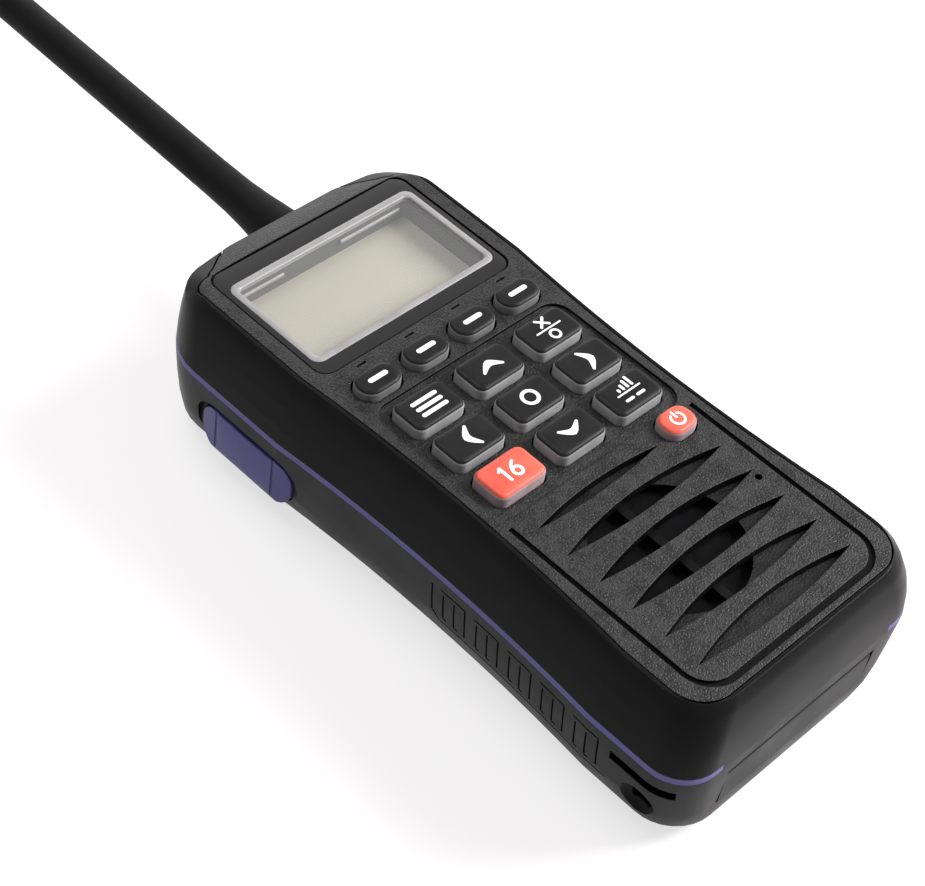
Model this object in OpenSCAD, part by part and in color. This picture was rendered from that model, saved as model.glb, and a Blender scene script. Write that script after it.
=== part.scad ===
// Handheld marine VHF radio, lying on its back: +Y runs to the antenna, +Z out of the face,
// +X to the right as the face is read. The origin is on the flat back, in its middle.

/* [Case] */
// Width of the case at its seam
case_w = 65; // [64:0.5:68]
// Length of the case without its antenna
case_l = 136.5; // [134:0.5:142]
// Depth of the case from the flat back to the face
case_h = 35; // [34.5:0.5:37]
// Width of the sloping shoulder on each side of the flat face
shoulder = 4.3; // [3.6:0.1:4.6]
// Depth of the front half, from the seam to the face
front_h = 14.8; // [14.6:0.1:15.2]
// Height of the coloured strip in the seam
trim_h = 1.2; // [0.8:0.1:1.4]
// Depth of the coloured strip behind the skin
trim_t = 1.4; // [1:0.1:1.6]
// Wall of the two case halves
wall = 2.4; // [2.2:0.1:2.8]
// Plan radius of the two corners at the foot
low_r = 8; // [6:0.5:9]
// Plan radius of the two corners at the antenna end
top_r = 13.5; // [12.5:0.5:14.5]
// Drop of the antenna end's corners below its middle
bow = 0.8; // [0.4:0.1:1.2]
// How far the sides are drawn in at the waist
waist_in = 1.8; // [1:0.1:2]
// Radius of the waist, seen from the front
waist_r = 420; // [380:10:500]
// Place of the waist along the case
waist_y = -8; // [-12:1:-4]

/* [Face] */
// Thickness of the grained face plate
plate_t = 2; // [1.8:0.1:2.4]
// Thickness of the case under the face plate
face_wall = 1.8; // [1.6:0.1:2.2]
// Margin of smooth case around the face plate
plate_margin = 0.9; // [0.6:0.1:1.2]
// Gap between the face plate and the case
plate_gap = 0.25; // [0.15:0.05:0.35]
// Width of the display lens
lens_w = 48.6; // [47.8:0.2:49.4]
// Length of the display lens
lens_l = 32.2; // [31.4:0.2:32.6]
// Distance of the display lens's middle from the antenna end
lens_end = 23.55; // [23.3:0.05:23.9]
// Thickness of the display lens
lens_t = 1.8; // [1.4:0.1:1.9]
// Width of the window under the lens
window_w = 46; // [44:0.5:46.5]
// Length of the window under the lens
window_l = 24.8; // [23:0.2:25.4]
// How far the window sits below the lens's middle
window_drop = 0.5; // [0.2:0.1:0.8]
// Depth of the recess that holds the keys
key_recess = 0.6; // [0.3:0.1:0.8]

/* [Keys] */
// Spacing of the nine keys across the case
key_dx = 15.28; // [14.8:0.02:15.4]
// Spacing of the nine keys along the case
key_dy = 10.05; // [9.95:0.05:10.3]
// Width of a key
key_w = 12; // [11:0.2:12.4]
// Length of a key
key_l = 8; // [7.2:0.2:8]
// Middle of the nine keys along the case
key_y = 1.2; // [0.8:0.1:1.6]
// Spacing of the four soft keys
soft_dx = 11.9; // [11.5:0.1:12]
// Width of a soft key
soft_w = 9.6; // [8.8:0.1:9.8]
// Length of a soft key
soft_l = 6; // [5.4:0.1:6.2]
// Distance of the soft keys from the lens's middle
soft_drop = 23; // [22.8:0.1:23.2]
// Width of the power key
power_w = 7.6; // [7:0.1:8]
// Length of the power key
power_l = 6; // [5.4:0.1:6.2]
// Middle of the power key across the case
power_x = 17.2; // [16.6:0.1:17.6]
// Middle of the power key along the case
power_y = -18.9; // [-19.2:0.1:-18.5]
// Height of the keys over the face
key_up = 2; // [1.4:0.1:2.4]
// Travel of a key
key_travel = 0.8; // [0.5:0.1:1]
// Gap around a key
key_gap = 0.3; // [0.2:0.05:0.35]

/* [Speaker] */
// Radius of the speaker
speaker_r = 17; // [16:0.5:17]
// Middle of the speaker across the case
speaker_x = -3.5; // [-4:0.1:-3]
// Distance of the speaker's middle from the foot end
speaker_end = 31.75; // [31.25:0.05:32.25]
// Radius of the opening over the cone
cone_window_r = 14.4; // [13:0.2:15]
// Number of full speaker slots
slot_count = 5; // [3:1:5]
// Spacing of the speaker slots
slot_dy = 7.4; // [7:0.1:7.6]
// Half the length of a full slot
slot_half = 20.2; // [18:0.2:20.4]
// Rise of a slot's upper curve over its tips
slot_rise = 2.7; // [2:0.1:3]
// Fall of a slot's lower curve below its tips
slot_fall = 1.7; // [1:0.1:2]
// Distance of the full slot nearest the keys from the speaker's middle
slot_lead = 9.2; // [8.9:0.1:9.5]
// Depth of the slots' blind ends
slot_deep = 1.1; // [0.8:0.1:1.4]
// Width of the groove round the speaker
groove_w = 1; // [0.6:0.1:1.2]
// Radius of the microphone's hole
mic_hole_r = 0.7; // [0.5:0.1:1]
// Distance of the microphone from the edge of the flat face
mic_in = 8.6; // [8.2:0.1:8.8]

/* [Battery] */
// Distance of the battery pack's sides from the case's sides
pack_side = 9.8; // [9.6:0.1:10.4]
// Distance of the battery pack from the foot end
pack_end = 4.45; // [4.25:0.05:4.65]
// Place of the pack's head end
pack_high = 21.8; // [20:0.2:22]
// Height of the seam over the battery pack
pack_drop = 4.4; // [4.3:0.1:5]
// Gap around the battery pack in its bay
pack_gap = 0.3; // [0.2:0.05:0.4]
// Thickness of the pack's lid
pack_lid_t = 1.8; // [1.4:0.1:2.2]
// Wall of the pack's shell
pack_wall = 1.5; // [1.2:0.1:1.8]

/* [Latch] */
// Distance of the battery latch's sides from the case's sides
latch_side = 12.8; // [12.5:0.1:15]
// Height of the latch's lower edge over the back
latch_low = 7.4; // [7.2:0.1:7.6]
// Height of the latch's upper edge over the back
latch_high = 16.9; // [16.6:0.1:17]
// Radius of the latch's hinge barrel
barrel_r = 1.6; // [1.4:0.1:1.7]
// Radius of the latch's steel pin
pin_r = 0.8; // [0.6:0.05:0.9]
// Gap around the latch
latch_gap = 0.2; // [0.15:0.05:0.3]

/* [Talk key] */
// Length of the talk key on the left side
ptt_l = 24.4; // [22:0.2:25]
// Height of the talk key
ptt_h = 10; // [9:0.2:10.4]
// Middle of the talk key along the case
ptt_y = 39.6; // [39:0.1:40]
// Middle of the talk key over the back
ptt_z = 10.4; // [10.2:0.1:10.6]
// How far the talk key stands out of the side
ptt_out = 1.2; // [0.8:0.1:1.5]
// Travel of the talk key
ptt_travel = 1.2; // [0.8:0.1:1.3]

/* [Antenna] */
// Middle of the antenna across the case
ant_x = 8.5; // [8.3:0.1:8.7]
// Middle of the antenna over the back
ant_z = 17.5; // [17.2:0.1:17.8]
// Length of the antenna beyond the case
ant_l = 150; // [120:5:180]
// Radius of the antenna's foot
foot_r = 5.5; // [5.4:0.1:5.8]
// Radius of the antenna's whip
whip_r = 3.9; // [3.6:0.1:4.2]
// Lean of the antenna towards the case's right side, in degrees
lean = 1.4; // [0:0.1:1.6]

/* [Fasteners] */
// Radius of a case screw's thread
screw_r = 1.1; // [1:0.05:1.2]
// Radius of a case screw's head
screw_head_r = 2.05; // [1.9:0.05:2.15]
// Distance of the case screws from the case's sides
screw_side = 6.3; // [6.2:0.1:6.5]
// Thread radius of the belt-clip inserts
clip_r = 1.25; // [1:0.05:1.5]
// Spacing of the belt-clip inserts
clip_dx = 24; // [20:1:26]
// Place of the belt-clip inserts along the case
clip_y = 44; // [40:1:48]

/* [Hidden] */
$fn = 64;
cut = 0.02;

half_w = case_w / 2;
half_l = case_l / 2;
face_w = case_w - 2 * shoulder;
seam_z = case_h - front_h;
fit = 0.1;

// Places along and across the face
lens_y = half_l - lens_end;
window_y = lens_y - window_drop;
soft_y = lens_y - soft_drop;
speaker_y = speaker_end - half_l;
slot_y = speaker_y + slot_lead;
mic_x = face_w / 2 - mic_in;

// Battery pack and latch
pack_w = case_w - 2 * pack_side;
pack_low = pack_end - half_l;
pack_h = seam_z - pack_drop;
latch_w = case_w - 2 * latch_side;

// Where the talk key's flange sits, left of the middle
ptt_seat = half_w - 5.8;

// Heights of the stack that hangs from the face, downwards
seat_z = case_h - plate_t;
inner_z = seat_z - face_wall;
flange_t = 0.8;
flange_z = inner_z - 0.2 - flange_t;
mat_t = 1.3;
mat_z = flange_z - key_travel - fit - mat_t;
board_t = 1.6;
key_board_z = mat_z - board_t;
main_top = key_board_z - 4.2;
main_z = main_top - board_t;
bay_z = pack_h + 0.4;
floor_z = bay_z + 2;
chassis_t = 1.2;
chassis_z = main_z - 0.6 - chassis_t;
strip_z = seam_z + trim_h;

// Places of the fasteners and of the parts on the centre boards
screw_x = half_w - screw_side;
head_screw_x = half_w - 13.8;
head_screw_y = half_l - 7.25;
screw_places = [[screw_x, 18], [-screw_x, 18], [screw_x, -46], [-screw_x, -46],
  [head_screw_x, head_screw_y], [-head_screw_x, head_screw_y]];
board_screw_x = face_w / 2 - 3.8;
board_screw_y = [11, -12];
boss_r = 2.4;
neck_r = 1.9;
head_z = bay_z - 1.2;
head_t = 1.8;

// [height, side, foot end, antenna end, antenna corners]: how far each level is drawn in
// from the seam, and how much less round its antenna end's corners are
front_levels = [[seam_z, 0, 0, 0, 0], [case_h - 10, 0.6, 0.35, 0.1, 0.5],
  [case_h - 6, 1.5, 0.9, 0.4, 1.5], [case_h - 2.7, 2.6, 1.8, 1.2, 3.3],
  [case_h - 1.2, shoulder - 1, 2.3, 4.2, 5.3], [case_h, shoulder, 3.25, 7, 7.9]];
rear_levels = [[seam_z, 0, 0, 0, 0], [14, 0.7, 0.15, 0.15, 0.5], [8.5, 1.5, 0.35, 0.4, 1],
  [4.5, 2.5, 0.6, 0.9, 1.8], [2, 4.2, 1, 1.6, 3], [0, 6.9, 2, 3.4, 4.5]];

// ---- plan shapes ----

// Rounded rectangle about the origin
module rounded(w, l, r) {
  q = min(r, w / 2 - 0.01, l / 2 - 0.01);
  square([w - 2 * q, l], center = true);
  square([w, l - 2 * q], center = true);
  for (x = [-1, 1], y = [-1, 1])
    translate([x * (w / 2 - q), y * (l / 2 - q)]) circle(q);
}

// Rounded plate from z up by t
module slab(w, l, r, z, t) {
  translate([0, 0, z]) linear_extrude(t) rounded(w, l, r);
}

// Pointed slot between two arcs that meet in its tips
module leaf(half, rise, fall) {
  up_r = (half * half + rise * rise) / (2 * rise);
  down_r = (half * half + fall * fall) / (2 * fall);
  intersection() {
    translate([0, rise - up_r]) circle(up_r, $fn = 360);
    translate([0, down_r - fall]) circle(down_r, $fn = 360);
  }
}

// ---- the outer form, inset by d ----

// One level of the form: its corner posts and the middle of its bowed end
module level(s, d, z) {
  w = half_w - s[1] - d;
  low = -half_l + s[2] + d;
  high = half_l - s[3] - d;
  lr = low_r + 0.3 * s[1] - d;
  tr = top_r - s[4] - d;
  for (x = [-1, 1]) {
    translate([x * (w - lr), low + lr, z]) cylinder(r = lr, h = cut, $fn = 32);
    translate([x * (w - tr), high - bow - tr, z]) cylinder(r = max(tr, 0.5), h = cut, $fn = 32);
  }
  translate([-half_w / 2.5, high - 4, z]) cube([case_w / 2.5, 4, cut]);
}

// What the waist takes off one side, its rings a hair below the given levels so that no two
// edges of the form fall together
module waist_side(levels, d, z_end, past) {
  far = waist_r - 12;
  ring_drop = 0.03;
  rim = [for (s = levels) [waist_r + s[1] + d, s[0] - ring_drop]];
  last = rim[len(rim) - 1];
  translate([half_w - waist_in + waist_r, waist_y, 0]) rotate([0, 0, 170])
    rotate_extrude(angle = 20, $fn = 1440)
      polygon(concat([[far, seam_z - past * 0.5], [rim[0][0], seam_z - past * 0.5]], rim,
        [[last[0], z_end + past], [far, z_end + past]]));
}

module waist_cut(levels, d, z_end, past) {
  waist_side(levels, d, z_end, past);
  mirror([1, 0, 0]) waist_side(levels, d, z_end, past);
}

// Front half of the form, from the seam to the face
module front_form(d = 0) {
  difference() {
    hull() for (s = front_levels) level(s, d, s[0] == seam_z ? seam_z - (d > 0 ? 1 : 0) : s[0] - d - cut);
    waist_cut(front_levels, d, case_h, 2);
  }
}

// Rear half of the form, from the flat back to the seam
module rear_form(d = 0) {
  difference() {
    hull() for (s = rear_levels) level(s, d, s[0] == seam_z ? seam_z - cut + (d > 0 ? 1 : 0) : s[0] + d);
    waist_cut(rear_levels, d, 0, -2);
  }
}

// Outline of the face plate, with its tongue over the antenna end's bevel
module plate_outline(gap = 0) {
  tongue = [[23.2, -4], [23.2, -0.05], [22, 0.9], [20.4, 1.7], [18.8, 2.9], [17.3, 4],
    [15, 5.2], [13.6, 8]];
  last = len(tongue) - 1;
  w = face_w - 2 * plate_margin + 2 * gap;
  low = -half_l + 3.25 + plate_margin - gap;
  high = lens_y + lens_l / 2 + 0.3 + gap;
  difference() {
    union() {
      translate([0, (low + high - 6) / 2]) rounded(w, high - 6 - low, 7);
      translate([0, high - 15]) rounded(w, 30, 3.5);
      polygon(concat([for (q = tongue) [q[0] + gap, high + q[1]]],
        [for (i = [last:-1:0]) [-tongue[i][0] - gap, high + tongue[i][1]]]));
    }
    for (x = [-1, 1])
      translate([x * (half_w - waist_in + waist_r), waist_y])
        circle(waist_r + shoulder + plate_margin - gap, $fn = 1440);
  }
}

// Everything of the antenna's axis, turned from Z to Y at its place
module along_antenna() {
  translate([ant_x, half_l, ant_z]) rotate([-90, 0, 0]) rotate([0, lean, 0]) children();
}

// What the case's walls leave free round the antenna's socket
module antenna_way() {
  along_antenna() translate([0, 0, -10.5]) cylinder(r = foot_r + 1.7, h = 16);
}

// ---- keys ----

module at_key(col, row) {
  translate([col * key_dx, key_y + row * key_dy, 0]) children();
}

module at_soft(i) {
  translate([(i - 2.5) * soft_dx, soft_y, 0]) children();
}

module at_power() {
  translate([power_x, power_y, 0]) children();
}

// One key: flange under the case, skirt through the face, stepped cap
module key(w, l, r, paint) {
  color(paint) {
    slab(w + 1.6, l + 1.4, r + 0.6, flange_z, flange_t);
    slab(w, l, r, flange_z, case_h + key_up - 0.6 - flange_z);
    slab(w - 0.8, l - 0.8, r - 0.3, case_h + key_up - 0.7, 0.7);
  }
}

// Openings for all keys, from z up by t
module key_openings(gap, z, t) {
  for (c = [-1:1], r = [-1:1])
    at_key(c, r) slab(key_w + 2 * gap, key_l + 2 * gap, 1.8 + gap, z, t);
  for (i = [1:4])
    at_soft(i) slab(soft_w + 2 * gap, soft_l + 2 * gap, soft_l / 2, z, t);
  at_power() slab(power_w + 2 * gap, power_l + 2 * gap, 2.6 + gap, z, t);
}

// ---- case ----

// Speaker slots: full ones and the short one next to the keys
module slots(z, t) {
  for (i = [0:slot_count - 1])
    translate([0, slot_y - i * slot_dy, z]) linear_extrude(t) leaf(slot_half, slot_rise, slot_fall);
  translate([-4.4, slot_y + 7.2, z]) linear_extrude(t) leaf(15.6, 1.5, 1);
}

// The blue strip's space: all round the seam except along the foot
module strip_zone(t) {
  difference() {
    translate([-case_w, -case_l, seam_z]) cube([2 * case_w, 2 * case_l, t]);
    translate([-half_w + low_r + 2, -half_l - 1, seam_z - 1]) cube([case_w - 2 * low_r - 4, 6, t + 2]);
  }
}

module bosses(r, z, top) {
  for (p = screw_places)
    translate([p[0], p[1], z]) cylinder(r = r, h = top - z);
}

module front_housing() {
  color("#1b1c1e") difference() {
    union() {
      difference() {
        front_form();
        front_form(wall);
        strip_zone(trim_h);
      }
      intersection() {
        front_form(wall / 2);
        translate([-case_w, -case_l, inner_z]) cube([2 * case_w, 2 * case_l, face_wall]);
      }
      intersection() {
        front_form(wall / 2);
        union() {
          bosses(boss_r, main_top, inner_z + cut);
          for (x = [-1, 1], y = board_screw_y)
            translate([x * board_screw_x, y, mat_z]) cylinder(r = 1.7, h = inner_z - mat_z + cut);
          translate([speaker_x, speaker_y, inner_z - 4]) difference() {
            cylinder(r = speaker_r + 1.3, h = 4 + cut);
            translate([0, 0, -1]) cylinder(r = speaker_r + 0.3, h = 6);
          }
        }
      }
      bosses(neck_r, floor_z + fit, main_top + cut);
    }
    difference() {
      translate([0, 0, seat_z - 8]) linear_extrude(20) plate_outline(plate_gap);
      front_form(plate_t);
    }
    translate([0, window_y, 0]) slab(window_w, window_l, 1.5, inner_z - 1, face_wall + 2);
    key_openings(key_gap + 0.1, inner_z - 1, face_wall + 2);
    difference() {
      translate([speaker_x, speaker_y, inner_z - 1]) cylinder(r = cone_window_r, h = face_wall + 2);
      translate([speaker_x - 0.9, speaker_y - speaker_r, inner_z - 2]) cube([1.8, 2 * speaker_r, 6]);
    }
    translate([mic_x, speaker_y, inner_z - 1]) cylinder(r = mic_hole_r + 0.4, h = face_wall + 2);
    for (p = screw_places)
      translate([p[0], p[1], floor_z - 1]) cylinder(r = screw_r + 0.05, h = 9);
    for (x = [-1, 1], y = board_screw_y)
      translate([x * board_screw_x, y, mat_z - 1]) cylinder(r = 0.8, h = 4);
    antenna_way();
  }
}

module face_plate() {
  color("#2b2c2f") difference() {
    intersection() {
      difference() {
        front_form();
        front_form(plate_t - 0.03);
      }
      translate([0, 0, seat_z - 8]) linear_extrude(20) plate_outline();
    }
    translate([0, lens_y, 0]) slab(lens_w + 0.3, lens_l + 0.3, 3, seat_z - 1, plate_t + 2);
    translate([0, (key_y + soft_y) / 2 - 10.6, case_h - key_recess]) linear_extrude(3) rounded(47.6, 33, 4);
    key_openings(key_gap, seat_z - 1, plate_t + 2);
    slots(case_h - slot_deep, plate_t);
    intersection() {
      slots(seat_z - 1, plate_t + 2);
      translate([speaker_x, speaker_y, seat_z - 2]) cylinder(r = cone_window_r, h = 6);
    }
    translate([mic_x, speaker_y, seat_z - 1]) cylinder(r = mic_hole_r, h = plate_t + 2);
    speaker_groove();
    antenna_way();
    for (i = [1:4])
      translate([(i - 2.5) * soft_dx + 1.2, soft_y + 5.4, case_h - 0.3]) linear_extrude(2) rounded(2.2, 0.5, 0.25);
  }
}

// Groove that frames the speaker: two arms and the foot, open to the keys
module speaker_groove() {
  groove_y = speaker_y + 1.1;
  groove_inner = face_w - 10.6;
  translate([0, 0, case_h - 0.5]) linear_extrude(3) intersection() {
    difference() {
      translate([0, groove_y - 0.45]) rounded(groove_inner + 2 * groove_w, 54.3, 6.6);
      translate([0, groove_y]) rounded(groove_inner, 52.6, 5.6);
    }
    translate([-case_w, groove_y - 36]) square([2 * case_w, 54.4]);
  }
}

module seam_trim() {
  color("#4b4496") difference() {
    intersection() {
      front_form();
      strip_zone(trim_h);
    }
    front_form(trim_t);
    antenna_way();
  }
}

module case_gasket() {
  color("#26272a") difference() {
    intersection() {
      front_form(trim_t + 0.1);
      strip_zone(trim_h);
    }
    front_form(wall - 0.1);
    antenna_way();
  }
}

// Grip pattern of one side: five combs over one long line, as a flat figure in Y and Z
module grip_figure() {
  line = 0.4;
  for (i = [0:4])
    translate([-16.3 - i * 8.35, 0]) {
      translate([0, 17.3]) square([6.1, line]);
      translate([-0.2, 9.2]) square([line, 8.2]);
      for (k = [1:2])
        translate([k * 2.7 - 0.2, 0]) {
          translate([0, 9.4]) square([line, 7]);
          translate([-0.7, 9.1]) square([0.9, line]);
        }
    }
  translate([-52, 7.6]) square([42.4, line]);
  translate([-8.3, 9.4]) square([line, 8]);
  translate([-9.6, 7.6]) rotate(52) square([2.3, line]);
}

module rear_housing() {
  color("#191a1c") difference() {
    union() {
      difference() {
        rear_form();
        intersection() {
          rear_form(wall);
          union() {
            translate([-case_w, -case_l, floor_z]) cube([2 * case_w, 2 * case_l, 20]);
            translate([-case_w, pack_high + 3.2, 0]) cube([2 * case_w, case_l, 40]);
          }
        }
      }
      intersection() {
        rear_form(wall / 2);
        union() {
          for (p = screw_places)
            if (p[1] > pack_high) translate([p[0], p[1], 0]) cylinder(r = 3.6, h = floor_z);
          for (x = [-1, 1])
            translate([x * clip_dx / 2, clip_y, 0]) cylinder(r = 3.6, h = 7);
          translate([-half_w, ptt_y - ptt_l / 2 - 2, ptt_z - ptt_h / 2 - 1.5])
            cube([4.5, ptt_l + 4, ptt_h + 3]);
        }
      }
      along_antenna() translate([0, 0, -9]) cylinder(r = foot_r + 1.5, h = 10);
    }
    bay();
    latch_opening();
    for (p = screw_places) {
      translate([p[0], p[1], -1]) cylinder(r = screw_head_r + 0.2, h = head_z + 1);
      translate([p[0], p[1], -1]) cylinder(r = screw_r + 0.2, h = 30);
    }
    for (x = [-1, 1])
      translate([x * clip_dx / 2, clip_y, -1]) cylinder(r = 2.2, h = 7.2);
    translate([0, ptt_y, ptt_z]) rotate([0, -90, 0]) {
      translate([0, 0, ptt_seat - 0.7]) linear_extrude(case_w) rounded(ptt_h + 0.5, ptt_l + 0.5, 4.4);
      translate([0, 0, ptt_seat - 4.7]) linear_extrude(5.8) rounded(ptt_h + 3, ptt_l + 2.6, 5.2);
      translate([0, 0, half_w - 1.75]) linear_extrude(9) rounded(ptt_h + 2.4, ptt_l + 2.8, 5.4);
    }
    along_antenna() translate([0, 0, -12]) cylinder(r = 5.5, h = 20);
    for (i = [-1:1])
      translate([i * 8, pack_high - 5, bay_z - 1]) cylinder(r = 1.1, h = 6);
    for (x = [-1, 1])
      grip_cut(x);
    strap_slot();
  }
}

// The grip figure cut to an even depth below the drawn-in side
module grip_cut(side) {
  difference() {
    translate([side > 0 ? half_w - 5 : -half_w - 1, 0, 0])
      rotate([90, 0, 90]) linear_extrude(6) grip_figure();
    rear_form(0.35);
  }
}

// Bay for the battery pack, open at the back
module bay() {
  translate([-pack_w / 2 - pack_gap, pack_low - pack_gap, -1])
    cube([pack_w + 2 * pack_gap, pack_high - pack_low + 2 * pack_gap, bay_z + 1]);
}

// Strap slot at the foot of the left side: a slot, the way behind the bar and its lower scoop
module strap_slot() {
  bar_x = -half_w + 6.1;
  translate([-half_w - 1, -65.4, 14.9]) cube([7.1, 13, 2.3]);
  translate([bar_x - 3, -62.4, 7.4]) cube([3, 6.4, 9]);
  translate([-half_w - 0.5, -59.2, 8.8]) sphere(r = 4.2);
}

latch_out = half_l - 0.25;
pivot_y = -latch_out + barrel_r;
pivot_z = latch_high - barrel_r;

module latch_opening() {
  translate([-latch_w / 2 - latch_gap, -half_l - 1, latch_low - latch_gap])
    cube([latch_w + 2 * latch_gap, half_l + 1 + pack_low, latch_high - latch_low + 2 * latch_gap]);
  translate([-latch_w / 2 - 2.7, pivot_y, pivot_z]) rotate([0, 90, 0])
    cylinder(r = pin_r + 0.05, h = case_w);
}

// ---- display ----

module display_lens() {
  color("#0b0c0e") translate([0, lens_y, 0]) slab(lens_w, lens_l, 2.8, seat_z + 0.05, lens_t);
}

module lcd_panel() {
  color("#b9b59c") translate([0, window_y, 0]) {
    slab(window_w + 1.6, window_l + 3, 0.8, inner_z - 2, 1.9);
    slab(window_w - 1.4, window_l - 1.2, 0.5, inner_z - 0.2, 1);
  }
}

module lcd_backlight() {
  color("#d8d8d2") translate([0, window_y, 0]) difference() {
    slab(window_w + 2.4, window_l + 3.6, 1, inner_z - 4.6, 2.55);
    for (x = [-1, 1])
      translate([x * window_w / 2.4, 0, inner_z - 5]) cylinder(r = 1.2, h = 1.4);
  }
}

// ---- keypad ----

// Outline shared by the key board and the silicone mat
module pad_outline(inset) {
  difference() {
    union() {
      translate([0, 6.3]) square([face_w - 5.2 - 2 * inset, 42.4 - 2 * inset], center = true);
      translate([face_w / 2 - 9.7, -19]) square([14 - 2 * inset, 11 - 2 * inset], center = true);
      translate([face_w / 2 - 9.7, -15]) square([14 - 2 * inset, 6], center = true);
    }
    for (p = screw_places)
      translate([p[0], p[1]]) circle(boss_r + 0.4);
  }
}

module keypad_mat() {
  color("#4a4b4e") translate([0, 0, mat_z]) difference() {
    linear_extrude(mat_t) pad_outline(0.4);
    for (x = [-1, 1], y = board_screw_y)
      translate([x * board_screw_x, y, -1]) cylinder(r = 2, h = 5);
  }
}

module key_board() {
  color("#1f6b45") translate([0, 0, key_board_z]) difference() {
    linear_extrude(board_t - 0.02) pad_outline(0);
    for (x = [-1, 1], y = board_screw_y)
      translate([x * board_screw_x, y, -1]) cylinder(r = 1, h = 5);
  }
}

key_black = "#141517";
key_red = "#e2503f";

module soft_key_1() { at_soft(1) key(soft_w, soft_l, soft_l / 2 - 0.1, key_black); }
module soft_key_2() { at_soft(2) key(soft_w, soft_l, soft_l / 2 - 0.1, key_black); }
module soft_key_3() { at_soft(3) key(soft_w, soft_l, soft_l / 2 - 0.1, key_black); }
module soft_key_4() { at_soft(4) key(soft_w, soft_l, soft_l / 2 - 0.1, key_black); }
module key_menu() { at_key(-1, 1) key(key_w, key_l, 1.8, key_black); }
module key_up_arrow() { at_key(0, 1) key(key_w, key_l, 1.8, key_black); }
module key_clear() { at_key(1, 1) key(key_w, key_l, 1.8, key_black); }
module key_left_arrow() { at_key(-1, 0) key(key_w, key_l, 1.8, key_black); }
module key_ok() { at_key(0, 0) key(key_w, key_l, 1.8, key_black); }
module key_right_arrow() { at_key(1, 0) key(key_w, key_l, 1.8, key_black); }
module key_call() { at_key(-1, -1) key(key_w, key_l, 1.8, key_red); }
module key_down_arrow() { at_key(0, -1) key(key_w, key_l, 1.8, key_black); }
module key_volume() { at_key(1, -1) key(key_w, key_l, 1.8, key_black); }
module key_power() { at_power() key(power_w, power_l, 2.6, key_red); }

// ---- speaker and microphone ----

module speaker_frame() {
  magnet_r = speaker_r - 7;
  color("#8f9296") translate([speaker_x, speaker_y, 0]) difference() {
    union() {
      translate([0, 0, inner_z - 3.4]) cylinder(r = speaker_r, h = 3);
      translate([0, 0, main_top + 0.6]) cylinder(r = magnet_r, h = inner_z - main_top - 3.9);
    }
    translate([0, 0, inner_z - 2.8]) cylinder(r1 = 5.4, r2 = speaker_r - 1.2, h = 2.41);
  }
}

module speaker_cone() {
  edge_r = speaker_r - 1.5;
  color("#2e2f33") translate([speaker_x, speaker_y, inner_z - 2.6]) {
    difference() {
      cylinder(r1 = 5, r2 = edge_r, h = 2.2);
      translate([0, 0, 0.4]) cylinder(r1 = 4.6, r2 = edge_r + 0.2, h = 2.21);
    }
    cylinder(r = 4, h = 1);
  }
}

module speaker_seal() {
  color("#3a3b3f") translate([speaker_x, speaker_y, inner_z - 0.38]) cylinder(r = speaker_r - 0.2, h = 0.3);
}

module microphone() {
  color("#b8babd") translate([mic_x, speaker_y, inner_z - 3.2]) cylinder(r = 3, h = 2.6);
}

module mic_boot() {
  color("#202124") translate([mic_x, speaker_y, inner_z - 4]) difference() {
    cylinder(r = 3.9, h = 3.9);
    translate([0, 0, 0.7]) cylinder(r = 3.05, h = 2.7);
    translate([0, 0, 1]) cylinder(r = mic_hole_r + 0.4, h = 4);
  }
}

// ---- boards and chassis ----

// Plan of the main board, notched for the antenna socket
module main_outline(inset) {
  high = half_l - 4;
  low = -half_l + 8;
  difference() {
    translate([0, (high + low) / 2]) rounded(case_w - 10 - 2 * inset, high - low - 2 * inset, 9);
    translate([ant_x - foot_r - 1.7, half_l - 11]) square([2 * foot_r + 3.4, 12]);
    for (x = [-1, 1])
      translate([x * (half_w - waist_in - wall - 0.6 + waist_r), waist_y]) circle(waist_r, $fn = 720);
  }
}

module main_board() {
  color("#1d5f8a") translate([0, 0, main_z]) difference() {
    linear_extrude(board_t - 0.02) main_outline(0);
    for (p = screw_places)
      translate([p[0], p[1], -1]) cylinder(r = neck_r + 0.1, h = 4);
    for (i = [-1:1])
      translate([i * 8, pack_high - 5, -1]) cylinder(r = 0.95, h = 4);
  }
}

module shield_can() {
  can_h = 2.4;
  color("#c3c6c9") difference() {
    translate([-2, 4, 0]) slab(30, 26, 1.5, main_top, can_h);
    translate([-2, 4, 0]) slab(29, 25, 1, main_top - 1, can_h + 0.5);
  }
}

module chassis() {
  color("#9b9ea2") translate([0, 0, chassis_z]) difference() {
    union() {
      linear_extrude(chassis_t) main_outline(0.8);
      for (x = [-12, 12], y = [-30, 0])
        translate([x, y, chassis_t - cut]) cylinder(r = 4, h = 0.57);
    }
    for (p = screw_places)
      translate([p[0], p[1], -1]) cylinder(r = neck_r + 0.1, h = 4);
    translate([0, pack_high - 5, -1]) slab(26, 8, 2, 0, 4);
    translate([0, 44, -1]) slab(30, 16, 2, 0, 4);
  }
}

module gps_antenna() {
  color("#cfc7b0") {
    translate([-10, half_l - 11, 0]) slab(12, 12, 0.8, main_top, 3.8);
    translate([-10, half_l - 11, 0]) slab(9.6, 9.6, 0.4, main_top + 3.8, 0.2);
  }
}

// ---- antenna ----

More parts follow.
